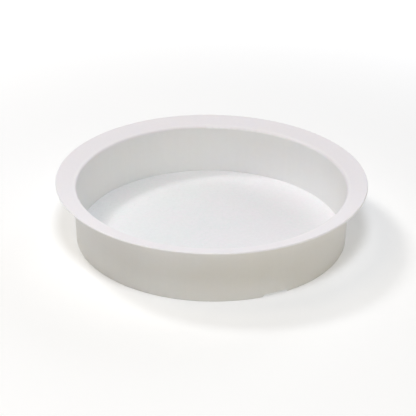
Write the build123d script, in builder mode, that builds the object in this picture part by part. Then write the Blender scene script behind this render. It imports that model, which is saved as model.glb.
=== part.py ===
from build123d import *
import os
from math import cos, radians, tan

# Round cheese mold for a wheel of about 34 cm: one white plastic moulding with a sloped rim, a
# plain wall, a drained floor and a notched foot ring, and a perforated disc loose on its floor.
# Millimetres, +Z up. The origin is on the mold's axis, in the plane that the foot ring stands
# on, and the front of the mold is towards -Y.

# Overall size
rim_radius = 200.0
total_height = 80.0

# Rim: a flange that falls towards the cavity, fully rounded at its outer edge
rim_slope = 17.0
rim_thickness = 2.4
rim_edge_rounding = 1.15
rim_inner_rounding = 4.0
rim_underside_fillet = 3.0

# Wall: opens upwards by the draft that lets the moulding and the cheese come out
floor_wall_radius = 172.5
wall_thickness = 3.5
wall_draft = 0.85

# Floor plate and foot ring
foot_height = 2.4
floor_thickness = 1.6
foot_outer_rounding = 1.2
foot_inner_rounding = 0.6
floor_inside_fillet = 0.4
floor_underside_fillet = 1.0

# Drainage notches through the foot ring, measured anticlockwise from +X
notch_count = 3
first_notch_angle = -63.6
notch_height = 3.4
notch_width_at_foot = 36.0
notch_width_at_top = 28.0

# Floor drainage: ring grooves joined by radial ones, with drain holes in some of the rings
ring_pitch = 15.0
ring_count = 11
holes_per_ring_step = 6
groove_width = 3.0
groove_depth = 0.5
radial_groove_count = 6
drain_hole_radius = 2.5
drained_rings = {3: 6, 6: 12, 9: 18}

# Stiffening ribs under the floor, clear of the table
rib_count = 6
rib_width = 2.4
rib_height = 1.6
rib_hub_radius = 24.0
rib_end_radius = 158.0

# Moulding marks under the floor: ejector pins between the ribs, and the gate's stub on the axis
ejector_mark_radius = 4.0
ejector_mark_depth = 0.2
ejector_marks = {75.0: 6, 120.0: 12}
gate_stub_radius = 2.5
gate_stub_height = 0.8

# Loose perforated disc
disc_clearance = 0.25
disc_thickness = 1.0
disc_edge_chamfer = 0.2
perforation_radius = 0.45

# Derived heights, and the two slopes as rise over run
floor_top = foot_height + floor_thickness
slope_rise = tan(radians(rim_slope))
wall_run = tan(radians(wall_draft))
rim_vertical_thickness = rim_thickness / cos(radians(rim_slope))

# Height where the rim's sharp outer corner would be, so that its rounding tops out at total_height
rim_corner_height = total_height + rim_edge_rounding * (
    slope_rise + 1 / cos(radians(rim_slope)) - 1
)


def wall_radius(face_radius_at_floor, height):
    """Radius of a drafted wall face at a height, from its radius level with the floor."""
    return face_radius_at_floor + (height - floor_top) * wall_run


def wall_meets_rim(face_radius_at_floor, rim_corner):
    """Section point (radius, height) where a drafted wall face meets a sloped rim face."""
    radius_at_zero = wall_radius(face_radius_at_floor, 0)
    rim_height_on_axis = rim_corner - rim_radius * slope_rise
    height = (rim_height_on_axis + radius_at_zero * slope_rise) / (1 - slope_rise * wall_run)
    return (wall_radius(face_radius_at_floor, height), height)


# ---- Mold body: the single moulding ----

wall_outer_radius = floor_wall_radius + wall_thickness
rim_underside_corner = rim_corner_height - rim_vertical_thickness

with BuildPart() as mold_body:
    with BuildSketch(Plane.XZ):
        with BuildLine():
            skin = FilletPolyline(
                (0, foot_height),
                (floor_wall_radius, foot_height),
                (floor_wall_radius, 0),
                (wall_radius(wall_outer_radius, 0), 0),
                wall_meets_rim(wall_outer_radius, rim_underside_corner),
                (rim_radius, rim_underside_corner),
                (rim_radius, rim_corner_height),
                wall_meets_rim(floor_wall_radius, rim_corner_height),
                (floor_wall_radius, floor_top),
                (0, floor_top),
                radius=[
                    floor_underside_fillet,
                    foot_inner_rounding,
                    foot_outer_rounding,
                    rim_underside_fillet,
                    rim_edge_rounding,
                    rim_edge_rounding,
                    rim_inner_rounding,
                    floor_inside_fillet,
                ],
            )
            Line(skin @ 1, skin @ 0)
        make_face()
    revolve(axis=Axis.Z)

    # Notches in the foot ring, each one cut outwards through the ring
    for notch in range(notch_count):
        angle = first_notch_angle + notch * 360 / notch_count
        outward = Vector(1, 0, 0).rotate(Axis.Z, angle)
        along_ring = Vector(0, 1, 0).rotate(Axis.Z, angle)
        inside_ring = outward * (floor_wall_radius - floor_underside_fillet)
        with BuildSketch(Plane(origin=inside_ring, x_dir=along_ring, z_dir=outward)):
            Polygon(
                (-notch_width_at_foot / 2, 0),
                (notch_width_at_foot / 2, 0),
                (notch_width_at_top / 2, notch_height),
                (-notch_width_at_top / 2, notch_height),
                align=None,
            )
        extrude(amount=2 * wall_thickness, mode=Mode.SUBTRACT)

    # Ribs under the floor, joined by a ring at the middle
    with BuildSketch(Plane.XY.offset(foot_height)):
        Circle(rib_hub_radius)
        Circle(rib_hub_radius - rib_width, mode=Mode.SUBTRACT)
        with PolarLocations((rib_hub_radius + rib_end_radius) / 2, rib_count):
            Rectangle(rib_end_radius - rib_hub_radius + rib_width, rib_width)
    extrude(amount=-rib_height)

    # Ejector marks, and the gate's stub
    with BuildSketch(Plane.XY.offset(foot_height)):
        for ring_radius, mark_count in ejector_marks.items():
            with PolarLocations(ring_radius, mark_count, start_angle=180 / mark_count):
                Circle(ejector_mark_radius)
    extrude(amount=ejector_mark_depth, mode=Mode.SUBTRACT)
    with BuildSketch(Plane.XY.offset(foot_height)):
        Circle(gate_stub_radius)
    extrude(amount=-gate_stub_height)

    # Grooves in the floor's top face, under the disc's rings of perforations. The rings go from
    # the outside in, because each one is a disc with its middle taken out again.
    with BuildSketch(Plane.XY.offset(floor_top)):
        for ring in reversed(range(1, ring_count + 1)):
            Circle(ring * ring_pitch + groove_width / 2)
            Circle(ring * ring_pitch - groove_width / 2, mode=Mode.SUBTRACT)
        with PolarLocations(
            (1 + ring_count) / 2 * ring_pitch,
            radial_groove_count,
            start_angle=180 / radial_groove_count,
        ):
            Rectangle((ring_count - 1) * ring_pitch, groove_width)
    extrude(amount=-groove_depth, mode=Mode.SUBTRACT)

    # Drain holes through the floor, on the rings and between the ribs
    with BuildSketch(Plane.XY.offset(foot_height)):
        for ring, hole_count in drained_rings.items():
            with PolarLocations(ring * ring_pitch, hole_count, start_angle=180 / hole_count):
                Circle(drain_hole_radius)
    extrude(amount=floor_thickness, mode=Mode.SUBTRACT)

mold_body.part.label = "mold_body"


# ---- Drain disc: lies loose on the floor and lifts straight out ----

with BuildPart() as drain_disc:
    with BuildSketch(Plane.XY.offset(floor_top)):
        Circle(floor_wall_radius - disc_clearance)
    extrude(amount=disc_thickness)
    chamfer(edges(), disc_edge_chamfer)
    with BuildSketch(Plane.XY.offset(floor_top)):
        Circle(perforation_radius)
        for ring in range(1, ring_count + 1):
            with PolarLocations(ring * ring_pitch, ring * holes_per_ring_step):
                Circle(perforation_radius)
    extrude(amount=disc_thickness, mode=Mode.SUBTRACT)

drain_disc.part.label = "drain_disc"


# ---- One STEP file for each piece ----

os.makedirs("parts", exist_ok=True)
export_step(mold_body.part, "parts/mold_body.step")
export_step(drain_disc.part, "parts/drain_disc.step")
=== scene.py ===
from math import cos, pi, radians, sin, tan

import bpy
from mathutils import Matrix, Vector


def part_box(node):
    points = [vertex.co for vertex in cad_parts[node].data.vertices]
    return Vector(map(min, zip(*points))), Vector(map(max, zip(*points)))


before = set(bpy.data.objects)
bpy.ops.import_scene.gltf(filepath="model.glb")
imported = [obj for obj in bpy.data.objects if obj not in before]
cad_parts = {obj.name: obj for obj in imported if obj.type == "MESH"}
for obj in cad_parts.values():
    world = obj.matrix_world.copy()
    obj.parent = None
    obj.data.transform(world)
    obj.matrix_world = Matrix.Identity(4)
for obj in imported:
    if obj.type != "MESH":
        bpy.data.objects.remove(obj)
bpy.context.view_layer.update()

# The looks of a round white plastic cheese mold and its loose perforated disc. Both CAD nodes have
# the right shape already, so they stay, and this script gives them their plastics, the studio
# floor, the lights and the camera. Metres, +Z up, in the frame of the CAD model.

# ---- Camera: where the photographer stood, from the mold's axis and resting plane ----

CAMERA_DISTANCE = 1.656
CAMERA_ELEVATION = 27.65
CAMERA_ROLL = 0.74
CAMERA_AIM = Vector((-0.0043, 0.0, 0.0341))
CAMERA_LENS = 110.06
SENSOR_WIDTH = 36.0

# ---- The object's own measures, read from the frame ----

MOLD_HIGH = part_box("mold_body")[1]
DISC_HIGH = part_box("drain_disc")[1]
RIM_RADIUS = MOLD_HIGH.x
RIM_TOP = MOLD_HIGH.z
DISC_RADIUS = DISC_HIGH.x
DISC_TOP = DISC_HIGH.z

# The mold's faces: the wall's middle at the resting plane and its draft, the rim's slope and its
# thickness along Z, how far the inside's colour blends into the outside's within the wall, and
# the height at which the rim's top face would reach the axis
WALL_MIDDLE = 0.1742
WALL_DRAFT = tan(radians(0.85))
RIM_SLOPE = tan(radians(17.0))
RIM_THICKNESS = 0.0025
WALL_BLEND = 0.0005
RIM_TOP_ON_AXIS = RIM_TOP - RIM_RADIUS * RIM_SLOPE

# Where the wear and painted shade sit: the widths of the rubbed edges, and the height of the foot's
# grey specks, painted contact shade and scuffing. The rim's inner edge is rubbed at its radius,
# fading out between two depths below the rim's top.
RIM_EDGE_WIDTH = 0.0016
RIM_INNER_EDGE = 0.1772
RIM_INNER_WIDTH = 0.0022
RIM_INNER_FULL_DEPTH = 0.008
RIM_INNER_END_DEPTH = 0.014
FOOT_SCUFF_AND_SHADE_HEIGHT = 0.0016
DISC_EDGE_WIDTH = 0.0012

# The disc's perforations: rings at this pitch, each with this many holes per ring number
PERFORATION_PITCH = 0.015
PERFORATIONS_PER_RING_STEP = 6
PERFORATION_HALO = 0.0016

# ---- Plastics ----

# Colours
MOLD_WHITE = (0.880, 0.884, 0.888)
MOLD_COOL = (0.870, 0.880, 0.886)
MOLD_WARM = (0.890, 0.886, 0.878)
# The rim's lilac is a painted tint of the light falling on its top from above
RIM_LIT_LILAC = (0.872, 0.836, 0.872)
# The outside's colour is painted shade and warm bounce light: darker and yellower than the plastic
OUTSIDE_SHADE_AND_WARM_LIGHT = (0.815, 0.798, 0.762)
DISC_WHITE = (0.874, 0.874, 0.884)
DISC_COOL = (0.848, 0.872, 0.876)
DISC_PINK = (0.892, 0.858, 0.886)
RUBBED_WHITE = (0.910, 0.908, 0.902)
# The foot's grey is painted contact shade along its bottom edge, in scuff-like specks
FOOT_CONTACT_SHADE_GREY = (0.560, 0.545, 0.520)

# Patterns: about how many features each has in a metre
MOLD_DRIFT = 11.0
MOLD_MOTTLE = 210.0
FLOW_STREAKS = 17.0
RUBBED_PATCHES = 38.0
FOOT_SCUFF_AND_SHADE_SPECKS = 95.0
MOLD_USE = 16.0
MOLD_SKIN = 330.0
MOLD_GRAIN = 1500.0
DISC_DRIFT = 19.0
DISC_FLECKS = 260.0
DISC_CLOUDS = 46.0
DISC_MOTTLE = 240.0
DISC_SPECKLE = 900.0
DISC_EDGE_PATCHES = 60.0
DISC_USE = 13.0

# Hairline scratches: each set's turn and how many features it has across it in a metre, how many
# it has along it, and the band round the noise's middle value that shows as a line
MOLD_HAIRLINES = ((0.4, 260.0), (-0.9, 210.0))
DISC_HAIRLINES = ((1.2, 240.0), (-0.3, 190.0))
HAIRLINE_LENGTHS = 7.0
HAIRLINE_BAND = 0.0035

# How far each mark takes the colour towards its own
DRIFT_TINT = 0.6
RIM_TINT = 0.8
RUBBED_TINT = 0.5
FOOT_CONTACT_SHADE_TINT = 0.75
HALO_TINT = 0.25
DISC_EDGE_TINT = 0.5
HAIRLINE_TINT = 0.10

# What the colour is multiplied by in each pattern's lows
FLOW_SHADE = 0.992
MOLD_MOTTLE_SHADE = 0.99
DISC_MOTTLE_SHADE = 0.965
DISC_SPECKLE_SHADE = 0.98

# Finish: the roughness of each plastic from the lows to the highs of its mottle, and what each
# mark adds to it
MOLD_ROUGHNESS = (0.34, 0.41)
DISC_ROUGHNESS = (0.50, 0.60)
FLOW_DULLING = 0.02
RUBBED_DULLING = -0.05
SCUFFED_DULLING = 0.18
MOLD_HAIRLINE_DULLING = 0.12
HALO_DULLING = -0.12
DISC_EDGE_DULLING = -0.10
DISC_HAIRLINE_DULLING = 0.10

# Relief: depths in metres. The lathe rings fade in between two heights above the disc.
MOLD_SKIN_DEPTH = 0.00005
MOLD_GRAIN_DEPTH = 0.00002
LATHE_RING_PITCH = 0.0008
LATHE_RING_DEPTH = 0.000004
LATHE_RINGS_START = 0.001
LATHE_RINGS_FULL = 0.004
DISC_SKIN_DEPTH = 0.00008
DISC_GRAIN_DEPTH = 0.00003
HAIRLINE_DEPTH = 0.00003

# Light in the plastic: white moulded plastic lets a little light through its skin
REFRACTIVE_INDEX = 1.5
SUBSURFACE_WEIGHT = 0.18
SUBSURFACE_DEPTH = 0.003
SUBSURFACE_RADIUS = (1.0, 0.85, 0.7)


class Nodes:
    """A material's node tree, with short calls for the nodes that the plastics share."""

    def __init__(self, name):
        self.material = bpy.data.materials.new(name)
        self.material.use_nodes = True
        self.tree = self.material.node_tree
        self.surface = self.tree.nodes["Principled BSDF"]
        place = self.tree.nodes.new("ShaderNodeTexCoord").outputs["Object"]
        split = self.tree.nodes.new("ShaderNodeSeparateXYZ")
        self.tree.links.new(place, split.inputs[0])
        self.place = place
        self.x, self.y, self.height = split.outputs
        self.radius = self.math("SQRT", self.math("ADD", self.square(self.x), self.square(self.y)))
        self.angle = self.math("ARCTAN2", self.y, self.x)
        # A point's direction from the axis: unlike the angle, it has no seam
        self.across = self.math("DIVIDE", self.x, self.radius)
        self.along = self.math("DIVIDE", self.y, self.radius)

    def feed(self, socket, value):
        """Links an output to an input, or sets the input to a plain value."""
        if isinstance(value, bpy.types.NodeSocket):
            self.tree.links.new(value, socket)
        elif isinstance(value, tuple) and len(value) == 3 and socket.type == "RGBA":
            socket.default_value = (*value, 1.0)
        else:
            socket.default_value = value

    def math(self, operation, *values, clamp=False):
        node = self.tree.nodes.new("ShaderNodeMath")
        node.operation = operation
        node.use_clamp = clamp
        for socket, value in zip(node.inputs, values):
            self.feed(socket, value)
        return node.outputs[0]

    def add_scaled(self, value, other, scale, clamp=False):
        """value + other * scale."""
        return self.math("ADD", value, self.math("MULTIPLY", other, scale), clamp=clamp)

    def square(self, value):
        return self.math("MULTIPLY", value, value)

    def vector(self, x, y, z):
        node = self.tree.nodes.new("ShaderNodeCombineXYZ")
        for socket, value in zip(node.inputs, (x, y, z)):
            self.feed(socket, value)
        return node.outputs[0]

    def scaled(self, vector, scale):
        node = self.tree.nodes.new("ShaderNodeVectorMath")
        node.operation = "MULTIPLY"
        self.feed(node.inputs[0], vector)
        self.feed(node.inputs[1], scale)
        return node.outputs[0]

    def noise(self, vector, scale, detail=2.0, roughness=0.5, distortion=0.0):
        """Noise from 0 to 1 whose features are about 1/scale metres wide."""
        node = self.tree.nodes.new("ShaderNodeTexNoise")
        self.feed(node.inputs["Vector"], vector)
        node.inputs["Scale"].default_value = scale
        node.inputs["Detail"].default_value = detail
        node.inputs["Roughness"].default_value = roughness
        node.inputs["Distortion"].default_value = distortion
        return node.outputs["Fac"]

    def fade(self, value, start, end, low=0.0, high=1.0):
        """A smooth step: low up to start, high from end on. start may be above end."""
        node = self.tree.nodes.new("ShaderNodeMapRange")
        node.interpolation_type = "SMOOTHSTEP"
        limits = {"From Min": start, "From Max": end, "To Min": low, "To Max": high}
        for name, number in limits.items():
            node.inputs[name].default_value = number
        self.feed(node.inputs["Value"], value)
        return node.outputs["Result"]

    def near(self, value, centre, width):
        """1 where value is at centre, falling smoothly to 0 a width away."""
        away = self.math("ABSOLUTE", self.math("SUBTRACT", value, centre))
        return self.fade(away, width, 0.0)

    def mix(self, factor, a, b, blend="MIX"):
        """Colour a where factor is 0 and b where it is 1, or with a blend such as MULTIPLY."""
        node = self.tree.nodes.new("ShaderNodeMix")
        node.data_type = "RGBA"
        node.blend_type = blend
        node.clamp_factor = True
        colours = [socket for socket in node.inputs if socket.type == "RGBA"]
        self.feed(node.inputs["Factor"], factor)
        self.feed(colours[0], a)
        self.feed(colours[1], b)
        return [socket for socket in node.outputs if socket.type == "RGBA"][0]

    def tint(self, colour, other, mask, amount):
        """Takes a colour an amount of the way towards another, where a mask is 1."""
        return self.mix(self.math("MULTIPLY", mask, amount), colour, other)

    def dim(self, colour, pattern, darkest):
        """Multiplies a colour by darkest in a pattern's lows, and leaves it alone in its highs."""
        shade = self.fade(pattern, 0.3, 0.7, darkest, 1.0)
        return self.mix(1.0, colour, self.grey(shade), "MULTIPLY")

    def grey(self, value):
        node = self.tree.nodes.new("ShaderNodeCombineColor")
        for socket in node.inputs:
            self.feed(socket, value)
        return node.outputs[0]

    def bump(self, height, distance, strength=1.0, below=None):
        """Relief of a height from 0 to 1, distance metres deep, on top of the bump below it."""
        node = self.tree.nodes.new("ShaderNodeBump")
        node.inputs["Strength"].default_value = strength
        node.inputs["Distance"].default_value = distance
        self.feed(node.inputs["Height"], height)
        if below is not None:
            self.feed(node.inputs["Normal"], below)
        return node.outputs["Normal"]

    def scratches(self, turn, spread):
        """Fine hairlines, mostly in one direction: where a stretched noise crosses its middle."""
        rotate = self.tree.nodes.new("ShaderNodeVectorRotate")
        rotate.rotation_type = "Z_AXIS"
        rotate.inputs["Angle"].default_value = turn
        self.feed(rotate.inputs["Vector"], self.place)
        stretched = self.scaled(rotate.outputs[0], (spread, HAIRLINE_LENGTHS, HAIRLINE_LENGTHS))
        field = self.noise(stretched, 1.0, detail=1.5, roughness=0.4, distortion=0.3)
        return self.near(field, 0.5, HAIRLINE_BAND)

    def hairlines(self, first, second, use):
        """Two sets of scratches, only in the patches where the plastic is used."""
        crossing = self.math("MAXIMUM", self.scratches(*first), self.scratches(*second))
        return self.math("MULTIPLY", crossing, use)

    def perforation_halo(self):
        """1 at the centre of the nearest perforation, falling to 0 at the halo's radius."""
        rings = self.math("DIVIDE", self.radius, PERFORATION_PITCH)
        ring = self.math("MAXIMUM", self.math("ROUND", rings), 1.0)
        spacing = self.math("DIVIDE", 2 * pi / PERFORATIONS_PER_RING_STEP, ring)
        steps = self.math("DIVIDE", self.angle, spacing)
        turn = self.math("SUBTRACT", steps, self.math("ROUND", steps))
        sideways = self.math("MULTIPLY", self.math("MULTIPLY", turn, spacing), self.radius)
        outward = self.math("SUBTRACT", self.radius, self.math("MULTIPLY", ring, PERFORATION_PITCH))
        away = self.math("SQRT", self.math("ADD", self.square(sideways), self.square(outward)))
        return self.fade(away, PERFORATION_HALO, 0.0)

    def finish(self, colour, roughness, relief):
        """Connects the plastic's colour, roughness and relief, and gives it its slight depth."""
        self.feed(self.surface.inputs["Base Color"], colour)
        self.feed(self.surface.inputs["Roughness"], roughness)
        self.feed(self.surface.inputs["Normal"], relief)
        self.surface.inputs["IOR"].default_value = REFRACTIVE_INDEX
        self.surface.inputs["Subsurface Weight"].default_value = SUBSURFACE_WEIGHT
        self.surface.inputs["Subsurface Scale"].default_value = SUBSURFACE_DEPTH
        self.surface.inputs["Subsurface Radius"].default_value = SUBSURFACE_RADIUS
        return self.material


def mold_faces(nodes, drift):
    """Two masks: the rim's top face, and the outside, which is the wall and the rim's underside.

    The rim's top face is tinted lilac, a painted tint of the light from above, and the outside is
    darker and yellower, painted shade and warm light bounced from below. The outside's mask is a
    little weaker in the lows of a slow drift.
    """
    slope_height = nodes.add_scaled(RIM_TOP_ON_AXIS, nodes.radius, RIM_SLOPE)
    depth = nodes.math("SUBTRACT", slope_height, nodes.height)
    rim_top = nodes.fade(depth, 0.8 * RIM_THICKNESS, 0.3 * RIM_THICKNESS)
    from_middle = nodes.add_scaled(nodes.radius, nodes.height, -WALL_DRAFT)
    outside = nodes.fade(from_middle, WALL_MIDDLE - WALL_BLEND, WALL_MIDDLE + WALL_BLEND)
    outside = nodes.math("MULTIPLY", outside, nodes.fade(drift, 0.25, 0.6, low=0.75, high=1.0))
    return rim_top, nodes.math("MULTIPLY", outside, nodes.math("SUBTRACT", 1.0, rim_top))


def mold_wear_and_contact_shade(nodes):
    """How rubbed the rim's edges are, and the foot's grey specks of painted contact shade and
    scuffing.
    """
    rim_edge = nodes.fade(nodes.radius, RIM_RADIUS - RIM_EDGE_WIDTH, RIM_RADIUS)
    near_top = nodes.fade(
        nodes.height, RIM_TOP - RIM_INNER_END_DEPTH, RIM_TOP - RIM_INNER_FULL_DEPTH
    )
    rim_inner = nodes.near(nodes.radius, RIM_INNER_EDGE, RIM_INNER_WIDTH)
    rim_inner = nodes.math("MULTIPLY", rim_inner, near_top)
    patches = nodes.noise(nodes.place, RUBBED_PATCHES, detail=3.0, roughness=0.6)
    patches = nodes.fade(patches, 0.15, 0.80)
    rubbed = nodes.math("MULTIPLY", nodes.math("MAXIMUM", rim_edge, rim_inner), patches)
    specks = nodes.noise(nodes.place, FOOT_SCUFF_AND_SHADE_SPECKS, detail=4.0, roughness=0.7)
    specks = nodes.fade(specks, 0.25, 0.6)
    scuff_and_contact_shade = nodes.math("MULTIPLY", nodes.fade(nodes.height, FOOT_SCUFF_AND_SHADE_HEIGHT, 0.0), specks)
    return rubbed, scuff_and_contact_shade


def mold_plastic():
    """Natural white moulded plastic: satin, with flow marks, a fine skin and rubbed edges."""
    nodes = Nodes("mold_plastic")
    drift = nodes.noise(nodes.place, MOLD_DRIFT)
    mottle = nodes.noise(nodes.place, MOLD_MOTTLE, detail=3.0, roughness=0.6)
    rim_top, outside = mold_faces(nodes, drift)
    rubbed, scuff_and_contact_shade = mold_wear_and_contact_shade(nodes)
    used = nodes.fade(nodes.noise(nodes.place, MOLD_USE), 0.5, 0.68)
    hairlines = nodes.hairlines(*MOLD_HAIRLINES, used)

    # Flow streaks run along the wall and the rim, the way that the plastic filled the mould
    reach = nodes.math("ADD", nodes.radius, nodes.height)
    around = [nodes.math("MULTIPLY", part, FLOW_STREAKS) for part in (nodes.across, nodes.along)]
    flow = nodes.noise(nodes.vector(*around, reach), 2.0, detail=4.0, roughness=0.6)

    # Colour: the rim's top takes a painted lilac tint of the light from above, the outside is
    # painted darker and yellower as shade and warm bounce light, the rim's edges are rubbed white,
    # and the foot's bottom edge is painted grey in specks as contact shade and scuffing
    drifted = nodes.mix(nodes.fade(drift, 0.35, 0.65), MOLD_COOL, MOLD_WARM)
    colour = nodes.mix(DRIFT_TINT, MOLD_WHITE, drifted)
    # Painted shade and warm bounce light on the wall's outside and the rim's underside
    colour = nodes.mix(outside, colour, OUTSIDE_SHADE_AND_WARM_LIGHT)
    # Painted lilac tint of the light from above on the rim's top face
    colour = nodes.tint(colour, RIM_LIT_LILAC, rim_top, RIM_TINT)
    colour = nodes.dim(colour, flow, FLOW_SHADE)
    colour = nodes.dim(colour, mottle, MOLD_MOTTLE_SHADE)
    colour = nodes.tint(colour, RUBBED_WHITE, rubbed, RUBBED_TINT)
    # Painted contact shade along the foot's bottom edge, in scuff-like specks
    colour = nodes.tint(colour, FOOT_CONTACT_SHADE_GREY, scuff_and_contact_shade, FOOT_CONTACT_SHADE_TINT)
    colour = nodes.tint(colour, RUBBED_WHITE, hairlines, HAIRLINE_TINT)

    # Finish: smoother where rubbed, duller where scuffed, scratched or streaked
    roughness = nodes.fade(mottle, 0.25, 0.75, *MOLD_ROUGHNESS)
    roughness = nodes.add_scaled(roughness, nodes.fade(flow, 0.35, 0.65), FLOW_DULLING)
    roughness = nodes.add_scaled(roughness, rubbed, RUBBED_DULLING)
    roughness = nodes.add_scaled(roughness, scuff_and_contact_shade, SCUFFED_DULLING)
    roughness = nodes.add_scaled(roughness, hairlines, MOLD_HAIRLINE_DULLING, clamp=True)

    # Relief: a moulded skin, the lathe's rings above the disc, and scratches
    skin = nodes.noise(nodes.place, MOLD_SKIN, roughness=0.55)
    relief = nodes.bump(skin, MOLD_SKIN_DEPTH, strength=0.35)
    grain = nodes.noise(nodes.place, MOLD_GRAIN, roughness=0.6)
    relief = nodes.bump(grain, MOLD_GRAIN_DEPTH, strength=0.30, below=relief)
    rings = nodes.math("SINE", nodes.math("MULTIPLY", reach, 2 * pi / LATHE_RING_PITCH))
    above_disc = nodes.fade(nodes.height, DISC_TOP + LATHE_RINGS_START, DISC_TOP + LATHE_RINGS_FULL)
    rings = nodes.math("MULTIPLY", rings, above_disc)
    relief = nodes.bump(rings, LATHE_RING_DEPTH, strength=0.25, below=relief)
    scratched = nodes.math("SUBTRACT", 1.0, hairlines)
    relief = nodes.bump(scratched, HAIRLINE_DEPTH, strength=0.4, below=relief)
    return nodes.finish(colour, roughness, relief)


def disc_plastic():
    """White sheet plastic, a touch cooler than the mold, with a fine matt mottle on its faces."""
    nodes = Nodes("disc_plastic")
    drift = nodes.noise(nodes.place, DISC_DRIFT)
    flecks = nodes.noise(nodes.place, DISC_FLECKS, detail=3.0, roughness=0.6)
    clouds = nodes.noise(nodes.place, DISC_CLOUDS, detail=3.0, roughness=0.6, distortion=0.4)
    mottle = nodes.noise(nodes.place, DISC_MOTTLE, detail=4.0, roughness=0.65)
    speckle = nodes.noise(nodes.place, DISC_SPECKLE, roughness=0.6)

    # A polished halo round each perforation, where the punch pressed the sheet, a rubbed edge, and
    # hairlines from knives and brushes
    halo = nodes.perforation_halo()
    edge_patches = nodes.noise(nodes.place, DISC_EDGE_PATCHES, detail=3.0)
    edge = nodes.fade(nodes.radius, DISC_RADIUS - DISC_EDGE_WIDTH, DISC_RADIUS)
    edge = nodes.math("MULTIPLY", edge, nodes.fade(edge_patches, 0.3, 0.6, low=0.35, high=1.0))
    used = nodes.fade(nodes.noise(nodes.place, DISC_USE), 0.42, 0.66)
    hairlines = nodes.hairlines(*DISC_HAIRLINES, used)

    # Colour: cool and pink flecks, pinker towards the right as a painted tint of the light on that
    # side, with whiter clouds
    # Painted light tint: the right side, where the light falls, is pushed towards pink
    side = nodes.fade(nodes.x, -0.09, 0.09, low=0.35, high=0.65)
    blush = nodes.math("MULTIPLY", drift, 0.3)
    blush = nodes.add_scaled(blush, flecks, 0.4)
    blush = nodes.add_scaled(blush, side, 0.3)
    colour = nodes.mix(nodes.fade(blush, 0.40, 0.60), DISC_COOL, DISC_PINK)
    colour = nodes.mix(nodes.fade(clouds, 0.35, 0.65, low=0.0, high=0.5), colour, DISC_WHITE)
    colour = nodes.dim(colour, mottle, DISC_MOTTLE_SHADE)
    colour = nodes.dim(colour, speckle, DISC_SPECKLE_SHADE)
    colour = nodes.tint(colour, RUBBED_WHITE, halo, HALO_TINT)
    colour = nodes.tint(colour, RUBBED_WHITE, edge, DISC_EDGE_TINT)
    colour = nodes.tint(colour, RUBBED_WHITE, hairlines, HAIRLINE_TINT)

    # Finish: matt, smoother where pressed or rubbed, duller where scratched
    roughness = nodes.fade(mottle, 0.25, 0.75, *DISC_ROUGHNESS)
    roughness = nodes.add_scaled(roughness, halo, HALO_DULLING)
    roughness = nodes.add_scaled(roughness, edge, DISC_EDGE_DULLING)
    roughness = nodes.add_scaled(roughness, hairlines, DISC_HAIRLINE_DULLING, clamp=True)

    # Relief: the sheet's skin, its grain, and scratches
    relief = nodes.bump(mottle, DISC_SKIN_DEPTH, strength=0.35)
    relief = nodes.bump(speckle, DISC_GRAIN_DEPTH, strength=0.35, below=relief)
    scratched = nodes.math("SUBTRACT", 1.0, hairlines)
    relief = nodes.bump(scratched, HAIRLINE_DEPTH, strength=0.4, below=relief)
    return nodes.finish(colour, roughness, relief)


# ---- Studio ----

# The floor's glow rises from near the mold to far from it, between two radii
FLOOR_SIZE = 40.0
FLOOR_WHITE = (0.75, 0.75, 0.75)
GLOW_NEAR = 0.26
GLOW_FAR = 0.95
NEAR_RADIUS = 0.35
FAR_RADIUS = 1.8


def add_camera():
    elevation = radians(CAMERA_ELEVATION)
    back = Vector((0, -cos(elevation), sin(elevation)))
    data = bpy.data.cameras.new("camera")
    data.lens = CAMERA_LENS
    data.sensor_width = SENSOR_WIDTH
    camera = bpy.data.objects.new("camera", data)
    bpy.context.scene.collection.objects.link(camera)
    look = (-back).to_track_quat("-Z", "Y").to_matrix().to_4x4()
    roll = Matrix.Rotation(radians(CAMERA_ROLL), 4, "Z")
    place = Matrix.Translation(CAMERA_AIM + back * CAMERA_DISTANCE)
    camera.matrix_world = place @ look @ roll
    bpy.context.scene.camera = camera


def floor_paper():
    """White paper lit from below, so that it stays white far from the lights on the mold."""
    nodes = Nodes("studio_floor")
    nodes.feed(nodes.surface.inputs["Base Color"], FLOOR_WHITE)
    nodes.feed(nodes.surface.inputs["Roughness"], 1.0)
    nodes.feed(nodes.surface.inputs["Specular IOR Level"], 0.0)
    nodes.feed(nodes.surface.inputs["Emission Color"], (1.0, 1.0, 1.0))
    glow = nodes.fade(nodes.radius, NEAR_RADIUS, FAR_RADIUS, GLOW_NEAR, GLOW_FAR)
    nodes.feed(nodes.surface.inputs["Emission Strength"], glow)
    return nodes.material


def add_floor():
    bpy.ops.mesh.primitive_plane_add(size=FLOOR_SIZE, location=(0, 0, 0))
    floor = bpy.context.object
    floor.name = "studio_floor"
    floor.data.materials.append(floor_paper())


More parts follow.
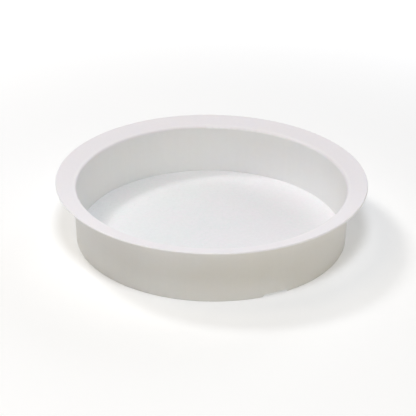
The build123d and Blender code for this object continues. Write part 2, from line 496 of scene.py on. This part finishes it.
# ---- Lights ----

# Soft round panels that stand around the mold and face its middle. Each has its azimuth and its
# elevation in degrees (azimuth 0 is the camera's side, 90 the right), its diameter in metres, its
# power in watts and its tint.
LIGHT_DISTANCE = 2.2
LIGHT_AIM = Vector((0.0, 0.0, 0.05))
NEUTRAL = (1.0, 1.0, 1.0)
COOL = (0.90, 0.93, 1.0)
WARM = (1.0, 0.90, 0.75)
AMBER = (1.0, 0.87, 0.50)
LIGHTS = {
    "front_high": (0, 64, 0.5, 21.5, COOL),
    "key_left": (240, 55, 0.5, 15.0, NEUTRAL),
    "left_high": (280, 64, 0.9, 8.0, WARM),
    "back_right": (150, 28, 0.9, 8.0, COOL),
    "right_fill": (120, 28, 0.9, 3.0, COOL),
    "front_fill": (0, 46, 0.9, 3.0, AMBER),
    "front_right_low": (50, 14, 0.5, 3.0, AMBER),
    "back_low": (180, 10, 0.9, 2.5, NEUTRAL),
}
ROOM_LIGHT = 0.04


def add_light(name, azimuth, elevation, diameter, power, tint):
    turn, lift = radians(azimuth), radians(elevation)
    away = Vector((sin(turn) * cos(lift), -cos(turn) * cos(lift), sin(lift)))
    data = bpy.data.lights.new(name, "AREA")
    data.shape = "DISK"
    data.size = diameter
    data.energy = power
    data.color = tint
    light = bpy.data.objects.new(name, data)
    light.location = LIGHT_AIM + away * LIGHT_DISTANCE
    light.rotation_euler = (-away).to_track_quat("-Z", "Y").to_euler()
    bpy.context.scene.collection.objects.link(light)


def add_room():
    world = bpy.data.worlds.new("studio")
    world.use_nodes = True
    world.node_tree.nodes["Background"].inputs["Color"].default_value = (1.0, 1.0, 1.0, 1.0)
    world.node_tree.nodes["Background"].inputs["Strength"].default_value = ROOM_LIGHT
    bpy.context.scene.world = world


add_camera()
add_floor()
add_room()
for light_name, settings in LIGHTS.items():
    add_light(light_name, *settings)
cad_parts["mold_body"].material_slots[0].material = mold_plastic()
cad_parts["drain_disc"].material_slots[0].material = disc_plastic()
bpy.context.scene.view_settings.view_transform = "Standard"
